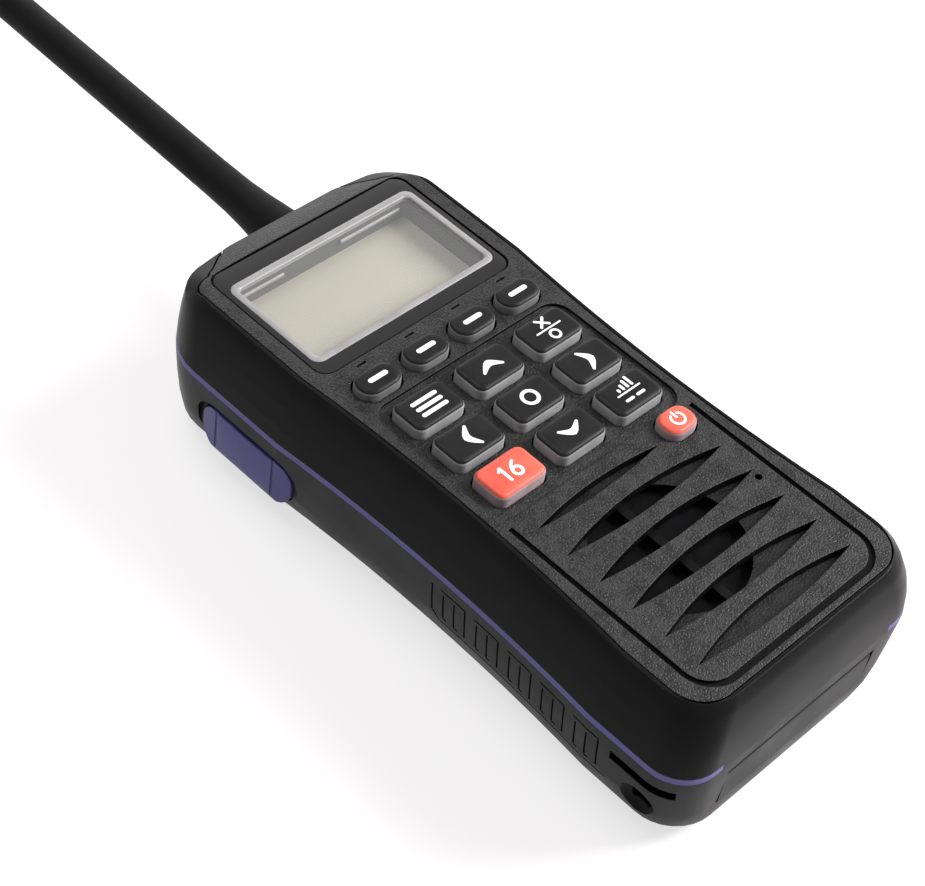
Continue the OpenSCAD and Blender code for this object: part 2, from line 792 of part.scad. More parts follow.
module antenna_whip() {
  base = 1.25;
  bend = [[foot_r, base], [foot_r, base + 2], [foot_r - 0.25, base + 6], [foot_r - 0.65, base + 10],
    [whip_r + 0.5, base + 14], [whip_r + 0.15, base + 19], [whip_r, base + 27],
    [whip_r - 0.2, ant_l - 4], [whip_r - 0.6, ant_l - 1.6],
    [whip_r - 1.6, ant_l - 0.3], [whip_r - 2.8, ant_l]];
  color("#111214") along_antenna() difference() {
    rotate_extrude() polygon(concat([[0, base]], bend, [[0, ant_l]]));
    translate([0, 0, -1]) cylinder(r = 3, h = 10);
  }
}

module antenna_stud() {
  color("#c9a04e") along_antenna() {
    translate([0, 0, -6]) cylinder(r = 3.1, h = 7);
    translate([0, 0, 0.5]) cylinder(r = 3, h = 8.4);
  }
}

module antenna_socket() {
  color("#b98f42") along_antenna() difference() {
    union() {
      translate([0, 0, -10.6]) cylinder(r = 5.45, h = 11.6);
      translate([0, 0, -10.6]) cylinder(r = 6.6, h = 1.5);
    }
    translate([0, 0, -6.2]) cylinder(r = 3.15, h = 10);
    translate([0, 0, -12]) cylinder(r = 1, h = 10);
  }
}

// ---- talk key ----

module ptt_button() {
  face_x = half_w - 1.2 + ptt_out;
  crown_r = 60;
  color("#5049a4") {
    difference() {
      intersection() {
        translate([0, ptt_y, ptt_z]) rotate([0, -90, 0])
          translate([0, 0, ptt_seat + 0.9]) linear_extrude(face_x - ptt_seat - 0.9)
            rounded(ptt_h, ptt_l, 4.2);
        translate([crown_r - face_x, ptt_y, ptt_z - 20]) cylinder(r = crown_r, h = 40, $fn = 360);
        translate([24 - face_x, ptt_y - 40, ptt_z + 1]) rotate([-90, 0, 0]) cylinder(r = 24, h = 80, $fn = 180);
      }
      for (s = [-1, 1], k = [0, 1])
        translate([-face_x - 1, ptt_y + s * (ptt_l / 2 - 2.2 - k * 2.2) - 0.35, 0]) cube([1.7, 0.7, 40]);
    }
    translate([0, ptt_y, ptt_z]) rotate([0, -90, 0])
      translate([0, 0, ptt_seat]) linear_extrude(1) rounded(ptt_h + 2.4, ptt_l + 2, 5);
  }
}

module ptt_switch() {
  reach = ptt_seat - ptt_travel - fit;
  color("#3c3d40") {
    translate([-reach + 0.8, ptt_y - 3, ptt_z - 3]) cube([reach - ptt_seat + 3.7, 6, 6]);
    translate([-reach, ptt_y, ptt_z]) rotate([0, 90, 0]) cylinder(r = 1.6, h = 0.9);
  }
}

module ptt_board() {
  color("#1f6b45") translate([4.55 - ptt_seat, ptt_y - 10, wall + 0.2])
    cube([1, 20, chassis_z - wall - 0.4]);
}

// ---- battery latch ----

module battery_latch() {
  hook_w = 16;
  hook_in = -pack_low - 0.7;
  color("#1d1e20") difference() {
    union() {
      translate([-latch_w / 2, 0, 0]) rotate([90, 0, 90]) linear_extrude(latch_w) {
        translate([-latch_out, latch_low]) square([1.8, pivot_z - latch_low]);
        translate([pivot_y, pivot_z]) circle(barrel_r);
      }
      translate([-hook_w / 2, 0, 0]) rotate([90, 0, 90]) linear_extrude(hook_w)
        polygon([[-latch_out + 1, 8.2], [-hook_in, 8.2], [-hook_in, pivot_z - 5.8],
          [pack_low, pivot_z - 5.3], [-latch_out + 1, pivot_z - 5.3]]);
    }
    translate([-latch_w, pivot_y, pivot_z]) rotate([0, 90, 0]) cylinder(r = pin_r, h = 2 * latch_w);
  }
}

module latch_pin() {
  color("#c5c8cb") translate([-latch_w / 2 - 2.4, pivot_y, pivot_z]) rotate([0, 90, 0])
    cylinder(r = pin_r, h = latch_w + 4.8);
}

// ---- battery pack ----

pack_l = pack_high - pack_low;
pack_y = (pack_high + pack_low) / 2;

// Notch in the pack's foot end that the latch's hook reaches into
module hook_notch() {
  translate([-8.5, 0, 0]) rotate([90, 0, 90]) linear_extrude(17)
    polygon([[pack_low - 1, -1], [pack_low + 1.1, -1], [pack_low + 1.1, pivot_z - 5.75],
      [pack_low, pivot_z - 5.12], [pack_low - 1, pivot_z - 5.12]]);
}

module pack_shell() {
  color("#202124") difference() {
    translate([0, pack_y, 0]) slab(pack_w, pack_l, 1.2, pack_lid_t, pack_h - pack_lid_t);
    translate([0, pack_y, 0])
      slab(pack_w - 2 * pack_wall, pack_l - 2 * pack_wall - 1.6, 0.6, pack_lid_t - 1, pack_h - pack_lid_t - pack_wall + 1);
    hook_notch();
    for (i = [-1:1])
      translate([i * 8, pack_high - 5, pack_h - 0.5]) slab(4.1, 5.1, 0.5, 0, 2);
  }
}

module pack_lid() {
  color("#17181a") difference() {
    translate([0, pack_y, 0]) slab(pack_w, pack_l, 1.2, 0, pack_lid_t - 0.02);
    hook_notch();
    for (x = [-1, 1])
      translate([x * 12, pack_low + 13, -1]) cylinder(r = 2.6, h = 2.1);
    for (i = [0:8])
      translate([-15, pack_high - 14 - i * 3, -1]) cube([30, 1, 1.4]);
  }
}

module pack_cells() {
  cell_l = (pack_l - 2 * pack_wall - 4) / 2;
  color("#8c9298") for (s = [-1, 1])
    translate([0, pack_y + s * (cell_l / 2 + 0.3), 0])
      slab(pack_w - 2 * pack_wall - 1, cell_l, 1.5, pack_lid_t + 0.2, pack_h - pack_lid_t - pack_wall - 2.2);
}

module pack_board() {
  color("#1f6b45") translate([0, pack_high - 9, 0])
    slab(30, 12, 0.5, pack_h - pack_wall - 1.3, 1.2);
}

module pack_contacts() {
  color("#d8b15a") for (i = [-1:1])
    translate([i * 8, pack_high - 5, 0]) slab(4, 5, 0.4, pack_h - 0.48, 0.4);
}

module charge_contacts() {
  color("#d8b15a") for (x = [-1, 1])
    translate([x * 12, pack_low + 13, 0.3]) cylinder(r = 2.5, h = 0.78);
}

module radio_contacts() {
  color("#d8b15a") for (i = [-1:1])
    translate([i * 8, pack_high - 5, pack_h + 0.05]) cylinder(r = 0.9, h = main_z - pack_h + 0.8);
}

module pack_seal() {
  color("#2c2d31") translate([0, pack_high - 6, 0]) difference() {
    slab(32, 11, 3, pack_h + 0.04, 0.34);
    slab(29.6, 8.6, 2.2, pack_h - 1, 3);
  }
}

// ---- fasteners ----

module clip_inserts() {
  color("#c9a04e") for (x = [-1, 1])
    translate([x * clip_dx / 2, clip_y, 0]) difference() {
      translate([0, 0, 0.1]) cylinder(r = 2.15, h = 6);
      translate([0, 0, -1]) cylinder(r = clip_r, h = 8);
    }
}

module case_screws() {
  color("#b9bcc0") for (p = screw_places)
    translate([p[0], p[1], 0]) difference() {
      union() {
        translate([0, 0, head_z - head_t]) cylinder(r = screw_head_r, h = head_t);
        translate([0, 0, head_z - cut]) cylinder(r = screw_r, h = floor_z + 6.5 - head_z);
      }
      translate([0, 0, head_z - head_t - 1]) cylinder(r = 0.9, h = 1.9, $fn = 6);
    }
}

module board_screws() {
  color("#b9bcc0") for (x = [-1, 1], y = board_screw_y)
    translate([x * board_screw_x, y, key_board_z]) {
      translate([0, 0, -1.2]) cylinder(r = 1.6, h = 1.18);
      translate([0, 0, -0.1]) cylinder(r = 0.75, h = board_t + 2.4);
    }
}

front_housing();
face_plate();
rear_housing();
seam_trim();
case_gasket();
display_lens();
lcd_panel();
lcd_backlight();
keypad_mat();
key_board();
soft_key_1();
soft_key_2();
soft_key_3();
soft_key_4();
key_menu();
key_up_arrow();
key_clear();
key_left_arrow();
key_ok();
key_right_arrow();
key_call();
key_down_arrow();
key_volume();
key_power();
speaker_frame();
speaker_cone();
speaker_seal();
microphone();
mic_boot();
main_board();
shield_can();
chassis();
gps_antenna();
antenna_whip();
antenna_stud();
antenna_socket();
ptt_button();
ptt_switch();
ptt_board();
battery_latch();
latch_pin();
pack_shell();
pack_lid();
pack_cells();
pack_board();
pack_contacts();
charge_contacts();
radio_contacts();
pack_seal();
clip_inserts();
case_screws();
board_screws();
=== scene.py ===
import math

import bmesh
import bpy
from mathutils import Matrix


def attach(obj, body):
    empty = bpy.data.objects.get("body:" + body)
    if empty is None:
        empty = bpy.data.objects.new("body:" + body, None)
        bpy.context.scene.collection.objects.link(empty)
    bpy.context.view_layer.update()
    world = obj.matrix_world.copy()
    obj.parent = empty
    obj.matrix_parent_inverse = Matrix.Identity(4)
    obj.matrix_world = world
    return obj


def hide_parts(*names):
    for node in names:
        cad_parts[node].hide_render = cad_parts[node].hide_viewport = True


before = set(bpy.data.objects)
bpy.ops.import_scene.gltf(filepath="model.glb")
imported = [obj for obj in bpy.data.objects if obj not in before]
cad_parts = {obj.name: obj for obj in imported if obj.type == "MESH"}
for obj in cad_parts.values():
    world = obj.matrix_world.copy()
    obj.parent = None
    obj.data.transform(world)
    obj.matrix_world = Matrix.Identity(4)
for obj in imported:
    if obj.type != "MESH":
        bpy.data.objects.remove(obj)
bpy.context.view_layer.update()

# ---- Camera ----
# The photograph's viewpoint: low over the foot's left corner, looking up along the case to the
# antenna, through a long lens.
mm = 0.001
camera_place = (-228.93, -163.54, 322.83)
camera_turn = (42.7193, -6.8129, -44.8264)
camera_data = bpy.data.cameras.new("product_camera")
camera_data.sensor_width = 36
camera_data.lens = 88.16
camera_data.clip_start = 0.01
camera = bpy.data.objects.new("product_camera", camera_data)
camera.location = [along * mm for along in camera_place]
camera.rotation_euler = [math.radians(turn) for turn in camera_turn]
bpy.context.scene.collection.objects.link(camera)
bpy.context.scene.camera = camera
bpy.context.scene.view_settings.view_transform = "Standard"


# ---- Table and light ----
# The radio lies on white paper, lit by one broad panel at its right, a softer one over the face and
# a dim low one past the antenna, so the shadow falls to the left and stays pale.
def new_material(name):
    material = bpy.data.materials.new(name)
    material.use_nodes = True
    material.node_tree.nodes.clear()
    return material, material.node_tree.nodes, material.node_tree.links


def white_to_the_camera(nodes, links, shade, lift):
    """Adds white light to what the camera sees, also in a mirror or through glass, and leaves the
    lighting alone. lift is how much, as one number or as the output of a node."""
    path = nodes.new("ShaderNodeLightPath")
    seen = path.outputs["Is Camera Ray"]
    for kind in ("Is Transmission Ray", "Is Glossy Ray"):
        either = nodes.new("ShaderNodeMath")
        either.operation = "MAXIMUM"
        links.new(seen, either.inputs[0])
        links.new(path.outputs[kind], either.inputs[1])
        seen = either.outputs[0]
    strength = nodes.new("ShaderNodeMath")
    strength.operation = "MULTIPLY"
    links.new(seen, strength.inputs[0])
    if isinstance(lift, float):
        strength.inputs[1].default_value = lift
    else:
        links.new(lift, strength.inputs[1])
    glow = nodes.new("ShaderNodeEmission")
    links.new(strength.outputs[0], glow.inputs["Strength"])
    both = nodes.new("ShaderNodeAddShader")
    links.new(shade.outputs[0], both.inputs[0])
    links.new(glow.outputs[0], both.inputs[1])
    return both


table_material, nodes, links = new_material("table_paper")
paper = nodes.new("ShaderNodeBsdfDiffuse")
paper_spots = nodes.new("ShaderNodeTexNoise")
paper_spots.inputs["Scale"].default_value = 6
paper_tone = nodes.new("ShaderNodeValToRGB")
paper_tone.color_ramp.elements[0].color = (0.41, 0.385, 0.385, 1)
paper_tone.color_ramp.elements[1].color = (0.43, 0.405, 0.405, 1)
paper_place = nodes.new("ShaderNodeTexCoord")
links.new(paper_place.outputs["Object"], paper_spots.inputs["Vector"])
links.new(paper_spots.outputs["Fac"], paper_tone.inputs["Fac"])
links.new(paper_tone.outputs["Color"], paper.inputs["Color"])

# Far from the radio the paper is whiter, so that its edge is not seen in low views.
near_distance, far_distance = 0.45, 1.0
near_lift, far_lift = 0.685, 0.92
distance = nodes.new("ShaderNodeVectorMath")
distance.operation = "LENGTH"
links.new(paper_place.outputs["Object"], distance.inputs[0])
fade = nodes.new("ShaderNodeMapRange")
fade.interpolation_type = "SMOOTHSTEP"
fade.inputs["From Min"].default_value = near_distance
fade.inputs["From Max"].default_value = far_distance
fade.inputs["To Min"].default_value = near_lift
fade.inputs["To Max"].default_value = far_lift
links.new(distance.outputs["Value"], fade.inputs["Value"])
paper_seen = white_to_the_camera(nodes, links, paper, fade.outputs["Result"])
links.new(paper_seen.outputs[0], nodes.new("ShaderNodeOutputMaterial").inputs["Surface"])

table_half = 3.0
table_height = -0.3 * mm
table_mesh = bpy.data.meshes.new("table")
table_mesh.from_pydata([(x * table_half, y * table_half, table_height)
                        for x, y in [(-1, -1), (1, -1), (1, 1), (-1, 1)]], [], [(0, 1, 2, 3)])
table_mesh.materials.append(table_material)
table = bpy.data.objects.new("table", table_mesh)
bpy.context.scene.collection.objects.link(table)

room_light, room_lift = 0.30, 0.75
world = bpy.data.worlds.new("studio")
world.use_nodes = True
bpy.context.scene.world = world
nodes, links = world.node_tree.nodes, world.node_tree.links
nodes.clear()
room = nodes.new("ShaderNodeBackground")
room.inputs["Color"].default_value = (1, 1, 1, 1)
room.inputs["Strength"].default_value = room_light
room_seen = white_to_the_camera(nodes, links, room, room_lift)
links.new(room_seen.outputs[0], nodes.new("ShaderNodeOutputWorld").inputs["Surface"])

for name, place, aim, size, power in [
        ("panel_right", (0.62, -0.35, 0.50), (0, 0, 0), (0.45, 0.45), 15.0),
        ("panel_over", (-0.10, 0.35, 0.85), (0, 0, 0), (0.5, 0.5), 2.7),
        ("panel_low", (0.45, 0.75, 0.20), (0, 0.05, 0.02), (0.5, 0.2), 1.3)]:
    lamp_data = bpy.data.lights.new(name, "AREA")
    lamp_data.shape = "RECTANGLE"
    lamp_data.size, lamp_data.size_y = size
    lamp_data.energy = power
    lamp = bpy.data.objects.new(name, lamp_data)
    lamp.location = place
    away = [place[axis] - aim[axis] for axis in range(3)]
    flat = math.hypot(away[0], away[1])
    lamp.rotation_euler = (math.atan2(flat, away[2]), 0, math.atan2(away[1], away[0]) + math.pi / 2)
    bpy.context.scene.collection.objects.link(lamp)


# ---- Front housing ----
# The smooth black shell that wraps the face: one injection moulding in glass-filled nylon, joined
# to the rear half by six screws from the back. Its skin is polished satin with faint swirls.
def finish(name, dark, light, gloss, clouds, grain, depth, fine=2.0, metal=0.0, edge=0.0,
           mirror=0.5, painted_grain_light=0.0):
    """A moulded, cast or painted surface. Its tone goes from dark to light and its roughness over
    gloss, in blotches of the size clouds. On it lies a grain of its own size and depth, with fine
    as its detail, whose tops are painted lighter than its pits by the last argument: painted
    highlight on the tops and painted shade in the pits. edge is how far its corners are worn
    round, and mirror how strongly it reflects. Sizes are in millimetres."""
    tone_span, sheen_span = (0.35, 0.65), (0.3, 0.7)
    material, nodes, links = new_material(name)
    place = nodes.new("ShaderNodeTexCoord")
    blotches = nodes.new("ShaderNodeTexNoise")
    blotches.inputs["Scale"].default_value = 1 / (clouds * mm)
    blotches.inputs["Detail"].default_value = 3
    links.new(place.outputs["Object"], blotches.inputs["Vector"])
    tone = nodes.new("ShaderNodeValToRGB")
    for stop, position, colour in zip(tone.color_ramp.elements, tone_span, (dark, light)):
        stop.position = position
        stop.color = (*colour, 1)
    sheen = nodes.new("ShaderNodeMapRange")
    sheen.inputs["From Min"].default_value, sheen.inputs["From Max"].default_value = sheen_span
    sheen.inputs["To Min"].default_value, sheen.inputs["To Max"].default_value = gloss
    links.new(blotches.outputs["Fac"], sheen.inputs["Value"])
    pits = nodes.new("ShaderNodeTexNoise")
    pits.inputs["Scale"].default_value = 1 / (grain * mm)
    pits.inputs["Detail"].default_value = fine
    links.new(place.outputs["Object"], pits.inputs["Vector"])
    # Painted highlight and shade: the grain's tops are lightened and its pits darkened in the tone.
    tone_and_grain_light = nodes.new("ShaderNodeMath")
    tone_and_grain_light.operation = "MULTIPLY_ADD"
    tone_and_grain_light.inputs[1].default_value = painted_grain_light
    links.new(pits.outputs["Fac"], tone_and_grain_light.inputs[0])
    links.new(blotches.outputs["Fac"], tone_and_grain_light.inputs[2])
    centred = nodes.new("ShaderNodeMath")
    centred.operation = "SUBTRACT"
    centred.inputs[1].default_value = painted_grain_light / 2
    links.new(tone_and_grain_light.outputs[0], centred.inputs[0])
    links.new(centred.outputs[0], tone.inputs["Fac"])
    bump = nodes.new("ShaderNodeBump")
    bump.inputs["Strength"].default_value = 1.0
    bump.inputs["Distance"].default_value = depth * mm
    links.new(pits.outputs["Fac"], bump.inputs["Height"])
    if edge:
        worn = nodes.new("ShaderNodeBevel")
        worn.samples = 6
        worn.inputs["Radius"].default_value = edge * mm
        links.new(worn.outputs["Normal"], bump.inputs["Normal"])
    shader = nodes.new("ShaderNodeBsdfPrincipled")
    shader.inputs["Metallic"].default_value = metal
    shader.inputs["Specular IOR Level"].default_value = mirror
    links.new(tone.outputs["Color"], shader.inputs["Base Color"])
    links.new(sheen.outputs["Result"], shader.inputs["Roughness"])
    links.new(bump.outputs["Normal"], shader.inputs["Normal"])
    links.new(shader.outputs["BSDF"], nodes.new("ShaderNodeOutputMaterial").inputs["Surface"])
    return material


def dressed(node, name, body, material, sharp=32):
    """A shown copy of a CAD solid, merged and smoothed between edges steeper than sharp degrees."""
    merge_distance = 0.001 * mm
    shell = bmesh.new()
    shell.from_mesh(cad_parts[node].data)
    bmesh.ops.remove_doubles(shell, verts=shell.verts, dist=merge_distance)
    for face in shell.faces:
        face.smooth = True
        face.material_index = 0
    for edge in shell.edges:
        edge.smooth = len(edge.link_faces) == 2 and edge.calc_face_angle() < math.radians(sharp)
    mesh = bpy.data.meshes.new(name)
    shell.to_mesh(mesh)
    shell.free()
    mesh.materials.append(material)
    piece = bpy.data.objects.new(name, mesh)
    bpy.context.scene.collection.objects.link(piece)
    even = piece.modifiers.new("even_shading", "WEIGHTED_NORMAL")
    even.keep_sharp = True
    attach(piece, body)
    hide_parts(node)
    return piece


satin_black = finish("satin_black", (0.0030, 0.0028, 0.0030), (0.0050, 0.0047, 0.0050),
                     (0.29, 0.38), 14, 0.5, 0.004, edge=0.3, mirror=0.08)
dressed("front_housing", "case_front", "radio", satin_black)

# ---- Face plate ----
# A separate 2 mm plate snapped into the front housing, moulded against a spark-eroded steel so its
# skin is a fine dark grey leather. The speaker's slots, key openings and frame groove are in it.
# Its grain's tops are painted lighter than its pits, as painted highlight and painted shade.
face_grain = finish("face_grain", (0.006, 0.0057, 0.006), (0.026, 0.0252, 0.026), (0.36, 0.48),
                    3, 0.36, 0.22, fine=1.5, edge=0.35, mirror=0.20, painted_grain_light=1.3)
# A near-black, grainless, nearly matt black for cut walls, grooves and slots: painted shade.
shade_black = finish("shade_black", (0.0014, 0.0013, 0.0014), (0.0028, 0.0026, 0.0028), (0.45, 0.6),
                   3, 0.42, 0.06, edge=0.2, mirror=0.06)
# The slots' floors get a darker black of their own: painted shade on the floors of the slots.
shaded_floor_black = finish("shaded_floor_black", (0.004, 0.0038, 0.004), (0.014, 0.0135, 0.014), (0.40, 0.55),
                     3, 0.42, 0.12, mirror=0.16, painted_grain_light=1.0)
face_skin = dressed("face_plate", "face_skin", "radio", face_grain)
face_skin.data.materials.append(shade_black)
face_skin.data.materials.append(shaded_floor_black)
shade_number, shaded_floor_number = 1, 2

# The blind ends of the speaker's slots are shown deeper than the solid has them.
slot_floor, slot_floor_shown, height_slack = 33.9, 33.1, 0.01
for corner in face_skin.data.vertices:
    if abs(corner.co.z - slot_floor * mm) < height_slack * mm:
        corner.co.z = slot_floor_shown * mm

# Walls below the grained skin, and all that is cut in the grille and in the ticks over the soft
# keys, are painted darker and without the grain: painted shade where these cuts fall into shade.
skin_half, skin_foot, skin_top = 25.5, -64.2, 34.95
grille_start, tick_start, tick_end = -17.5, 24.5, 28.5
standing, lying = 0.3, 0.7
for face in face_skin.data.polygons:
    x, y, z = face.center / mm
    if abs(x) > skin_half or y < skin_foot or z > skin_top:
        continue
    if abs(face.normal.z) < standing or y < grille_start or tick_start < y < tick_end:
        on_floor = face.normal.z > lying and z < slot_floor
        face.material_index = shaded_floor_number if on_floor else shade_number


# ---- Display ----
# A hard-coated acrylic lens lies in the plate. Its back is printed black with a pale frame line,
# and through its window the reflective display shows at the bottom of a grey well.
def outline(width, length, radius, steps=8):
    """Points of a rounded rectangle about the origin, anticlockwise, in millimetres."""
    points = []
    for quarter, (sx, sy) in enumerate([(1, 1), (-1, 1), (-1, -1), (1, -1)]):
        for step in range(steps + 1):
            turn = math.radians(90 * quarter + 90 * step / steps)
            points.append((sx * (width / 2 - radius) + radius * math.cos(turn),
                           sy * (length / 2 - radius) + radius * math.sin(turn)))
    return points


def stacked(levels, steps=8):
    """Rounded outlines one over the other, from the (width, length, radius, height) of each."""
    return [(outline(width, length, radius, steps), height) for width, length, radius, height in levels]


def lofted(name, rings, middle, materials, bands=(), close=True):
    """Skins a stack of equal outlines (points, height). bands gives each band's material number;
    close caps both ends, otherwise the last ring is joined to the first as round a frame."""
    smooth_below = 38
    count = len(rings[0][0])
    corners = [((x + middle[0]) * mm, (y + middle[1]) * mm, height * mm)
               for points, height in rings for x, y in points]
    faces, numbers = [], []
    for level in range(len(rings) - (1 if close else 0)):
        after = (level + 1) % len(rings)
        for side in range(count):
            beside = (side + 1) % count
            faces.append((level * count + side, level * count + beside,
                          after * count + beside, after * count + side))
            numbers.append(bands[level] if bands else 0)
    if close:
        faces.append(tuple(range(count))[::-1])
        numbers.append(bands[0] if bands else 0)
        faces.append(tuple((len(rings) - 1) * count + side for side in range(count)))
        numbers.append(bands[-1] if bands else 0)
    mesh = bpy.data.meshes.new(name)
    mesh.from_pydata(corners, [], faces)
    for material in materials:
        mesh.materials.append(material)
    for face, number in zip(mesh.polygons, numbers):
        face.material_index = number
        face.use_smooth = True
    shell = bmesh.new()
    shell.from_mesh(mesh)
    bmesh.ops.recalc_face_normals(shell, faces=shell.faces)
    for edge in shell.edges:
        edge.smooth = edge.calc_face_angle(0) < math.radians(smooth_below)
    shell.to_mesh(mesh)
    shell.free()
    piece = bpy.data.objects.new(name, mesh)
    bpy.context.scene.collection.objects.link(piece)
    return piece


lens_middle = (0, 44.7)
frame_middle = (0, 44.2)
lens_foot, lens_top = 33.05, 34.85
lens_black = finish("lens_black", (0.003, 0.003, 0.0033), (0.004, 0.004, 0.0044), (0.10, 0.16),
                    20, 2.0, 0.0015, mirror=0.45)
window_shift = frame_middle[1] - lens_middle[1]
window_edge = [(x, y + window_shift) for x, y in outline(44.6, 23.4, 1.2)]
lens_rings = stacked([(48.6, 32.2, 2.8, lens_foot), (48.6, 32.2, 2.8, 34.6), (48.4, 32.0, 2.7, 34.77),
                      (48.0, 31.6, 2.6, lens_top)]) + [(window_edge, lens_top), (window_edge, lens_foot)]
# The lens's sides, bevels, window wall and underside take the painted shade black, so its edges stay dark
# and catch no light.
lens = lofted("lens", lens_rings, lens_middle, [lens_black, shade_black], bands=(1, 1, 1, 0, 1, 1),
              close=False)
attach(lens, "radio")
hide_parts("display_lens")

frame_print_and_glint = finish("frame_print_and_glint", (0.245, 0.235, 0.238), (0.295, 0.282, 0.286), (0.35, 0.45),
                     5, 0.4, 0.004)
display_frame = lofted("display_frame", stacked([
    (45.9, 24.7, 2.0, 34.80), (45.9, 24.7, 2.0, 34.88), (45.6, 24.4, 1.9, 34.98),
    (44.2, 23.0, 1.5, 35.0), (43.4, 22.2, 1.2, 34.93), (43.0, 21.8, 1.1, 34.7),
    (43.0, 21.8, 1.1, 33.9), (44.4, 23.2, 1.3, 33.9)]), frame_middle, [frame_print_and_glint], close=False)
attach(display_frame, "radio")

well_grey = finish("well_grey", (0.055, 0.057, 0.058), (0.070, 0.072, 0.073), (0.5, 0.6),
                   8, 0.6, 0.01, mirror=0.3)
display_well = lofted("display_well", stacked([
    (43.2, 22.0, 1.0, 33.95), (42.6, 21.4, 0.8, 29.9), (46.4, 27.0, 0.8, 29.9),
    (46.4, 27.0, 0.8, 29.3), (45.6, 24.4, 0.9, 31.3), (44.4, 23.2, 1.0, 33.85)]),
    frame_middle, [well_grey], close=False)
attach(display_well, "radio")

# The reflector behind the liquid crystal is warm grey and a little warmer towards one corner.
lcd_material, nodes, links = new_material("lcd_reflector")
place = nodes.new("ShaderNodeTexCoord")
spread = nodes.new("ShaderNodeMapping")
spread.inputs["Location"].default_value = (0.55, -0.9, 0)
spread.inputs["Scale"].default_value = (16, 24, 1)
spread.inputs["Rotation"].default_value = (0, 0, math.radians(-40))
slope = nodes.new("ShaderNodeTexGradient")
warmth = nodes.new("ShaderNodeValToRGB")
warmth.color_ramp.elements[0].color = (0.362, 0.332, 0.258, 1)
warmth.color_ramp.elements[1].color = (0.350, 0.330, 0.270, 1)
dots = nodes.new("ShaderNodeTexNoise")
dots.inputs["Scale"].default_value = 1 / (0.5 * mm)
dot_bump = nodes.new("ShaderNodeBump")
dot_bump.inputs["Distance"].default_value = 0.003 * mm
lcd_shader = nodes.new("ShaderNodeBsdfPrincipled")
lcd_shader.inputs["Roughness"].default_value = 0.42
lcd_shader.inputs["Specular IOR Level"].default_value = 0.3
links.new(place.outputs["Object"], spread.inputs["Vector"])
links.new(spread.outputs["Vector"], slope.inputs["Vector"])
links.new(slope.outputs["Fac"], warmth.inputs["Fac"])
links.new(warmth.outputs["Color"], lcd_shader.inputs["Base Color"])
links.new(place.outputs["Object"], dots.inputs["Vector"])
links.new(dots.outputs["Fac"], dot_bump.inputs["Height"])
links.new(dot_bump.outputs["Normal"], lcd_shader.inputs["Normal"])
links.new(lcd_shader.outputs["BSDF"], nodes.new("ShaderNodeOutputMaterial").inputs["Surface"])
lcd = lofted("lcd_glass", stacked([(45.8, 26.0, 0.6, 29.2), (45.8, 26.0, 0.6, 29.8),
                                   (45.2, 25.4, 0.5, 29.88)]), frame_middle, [lcd_material])
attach(lcd, "radio")
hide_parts("lcd_panel")

# Two pale bars high in the well are painted reflection: thin lines of reflected light, in the frame's
# pale print colour.
glint_row = frame_middle[1] + 10.6
for name, left, right in [("well_glint_left", -20.4, -10.2), ("well_glint_right", 4.0, 19.6)]:
    width = right - left
    glint_bar = lofted(name, stacked([(width, 0.5, 0.2, 32.4), (width, 0.5, 0.2, 32.9),
                                  (width - 0.2, 0.3, 0.1, 33.0)]),
                   ((left + right) / 2, glint_row), [frame_print_and_glint])
    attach(glint_bar, "radio")

clear_window, nodes, links = new_material("clear_window")
window_shader = nodes.new("ShaderNodeBsdfPrincipled")
window_shader.inputs["Base Color"].default_value = (0.9, 0.9, 0.9, 1)
window_shader.inputs["Alpha"].default_value = 0.06
scuffs = nodes.new("ShaderNodeTexNoise")
scuffs.inputs["Scale"].default_value = 120
scuff_range = nodes.new("ShaderNodeMapRange")
scuff_range.inputs["To Min"].default_value = 0.04
scuff_range.inputs["To Max"].default_value = 0.12
links.new(nodes.new("ShaderNodeTexCoord").outputs["Object"], scuffs.inputs["Vector"])
links.new(scuffs.outputs["Fac"], scuff_range.inputs["Value"])
links.new(scuff_range.outputs["Result"], window_shader.inputs["Roughness"])
links.new(window_shader.outputs["BSDF"], nodes.new("ShaderNodeOutputMaterial").inputs["Surface"])
window = lofted("window", stacked([(43.6, 22.4, 1.1, 34.3), (43.6, 22.4, 1.1, 34.6)]),
                frame_middle, [clear_window])
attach(window, "radio")

# ---- Keys ----
# One silicone mat carries all the keys: grey translucent skirts come through the plate, and their
# crowned tops are sprayed black or coral red and then marked by laser, so the marks are pale.
key_skirt = finish("key_skirt", (0.25, 0.25, 0.255), (0.30, 0.30, 0.305), (0.42, 0.55),
                   3, 0.3, 0.008, mirror=0.3)
# The soft keys' skirts are the same grey silicone, painted darker as painted shade.
key_skirt_shaded = finish("key_skirt_shaded", (0.13, 0.13, 0.133), (0.17, 0.17, 0.174), (0.42, 0.55),
                        3, 0.3, 0.008, mirror=0.3)
key_skirt_red = finish("key_skirt_red", (0.32, 0.245, 0.26), (0.38, 0.29, 0.31), (0.42, 0.55),
                       3, 0.3, 0.008, mirror=0.3)
key_paint = finish("key_paint", (0.0045, 0.0043, 0.0045), (0.0075, 0.0071, 0.0075), (0.38, 0.50),
                   4, 0.22, 0.012, mirror=0.15)
key_paint_red = finish("key_paint_red", (0.69, 0.090, 0.058), (0.80, 0.125, 0.083), (0.40, 0.5),
                       4, 0.22, 0.010, mirror=0.3)
mark_white = finish("mark_white", (0.80, 0.80, 0.80), (0.90, 0.90, 0.90), (0.5, 0.6),
                    1.5, 0.15, 0.006)

